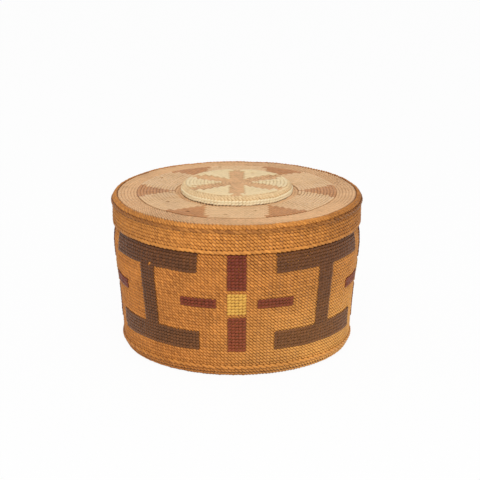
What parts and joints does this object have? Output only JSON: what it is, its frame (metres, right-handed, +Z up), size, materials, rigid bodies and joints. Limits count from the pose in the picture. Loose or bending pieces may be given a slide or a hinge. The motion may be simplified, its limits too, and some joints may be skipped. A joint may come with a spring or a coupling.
{
  "type": "rattle-top basket",
  "caption": "Round twined root basket with a patterned wall and a lift-off cap lid whose low knob is a closed drum with loose pebbles that rattle.",
  "frame": {"origin": "on the ground at the centre of the base", "axes": "+Z up along the basket's axis; -Y towards the cross in the middle of the pictured side"},
  "size_m": [0.1504, 0.1504, 0.0993],
  "materials": {
    "spruce_root": "matt twined root",
    "root_lining": "matt twined root, inside",
    "splint": "split root",
    "dark_grass": "satin dyed grass overlay",
    "red_grass": "satin dyed grass overlay",
    "yellow_grass": "satin dyed grass overlay",
    "straw_grass": "satin straw overlay",
    "faded_grass": "satin faded grass overlay",
    "stone": "water-worn"
  },
  "bodies": {
    "basket": {"base_outer_weft": "spruce_root", "base_inner_weft": "root_lining", "base_ridge": "spruce_root", "basket_warps": "splint", "wall_outer_weft": "spruce_root", "wall_inner_weft": "root_lining", "rim_braid": "spruce_root", "dark_frames": "dark_grass", "red_uprights": "red_grass", "red_crossbars": "red_grass", "yellow_centres": "yellow_grass"},
    "lid": {"skirt_outer_weft": "spruce_root", "lid_top_outer_weft": "spruce_root", "drum_outer_weft": "spruce_root", "cap_outer_weft": "spruce_root", "lid_inner_weft": "root_lining", "lid_warps": "splint", "shoulder_ridge": "spruce_root", "skirt_edge_braid": "spruce_root", "rattle_floor": "root_lining", "lid_straw_ring": "straw_grass", "lid_red_points": "faded_grass", "drum_straw_band": "straw_grass", "cap_straw_petals": "straw_grass"},
    "stone_1": {"rattle_stone_1": "stone"},
    "stone_2": {"rattle_stone_2": "stone"},
    "stone_3": {"rattle_stone_3": "stone"},
    "stone_4": {"rattle_stone_4": "stone"},
    "stone_5": {"rattle_stone_5": "stone"},
    "stone_6": {"rattle_stone_6": "stone"},
    "stone_7": {"rattle_stone_7": "stone"}
  },
  "joints": [
    {"name": "lid_lift", "type": "slide", "parent": "basket", "child": "lid", "axis": [0, 0, 1], "range_m": [0, 0.06]},
    {"name": "stone_1_hop", "type": "slide", "parent": "lid", "child": "stone_1", "axis": [0, 0, 1], "range_m": [0, 0.0018]},
    {"name": "stone_2_hop", "type": "slide", "parent": "lid", "child": "stone_2", "axis": [0, 0, 1], "range_m": [0, 0.0018]},
    {"name": "stone_3_hop", "type": "slide", "parent": "lid", "child": "stone_3", "axis": [0, 0, 1], "range_m": [0, 0.0018]},
    {"name": "stone_4_hop", "type": "slide", "parent": "lid", "child": "stone_4", "axis": [0, 0, 1], "range_m": [0, 0.0018]},
    {"name": "stone_5_hop", "type": "slide", "parent": "lid", "child": "stone_5", "axis": [0, 0, 1], "range_m": [0, 0.0018]},
    {"name": "stone_6_hop", "type": "slide", "parent": "lid", "child": "stone_6", "axis": [0, 0, 1], "range_m": [0, 0.0018]},
    {"name": "stone_7_hop", "type": "slide", "parent": "lid", "child": "stone_7", "axis": [0, 0, 1], "range_m": [0, 0.0018]}
  ]
}
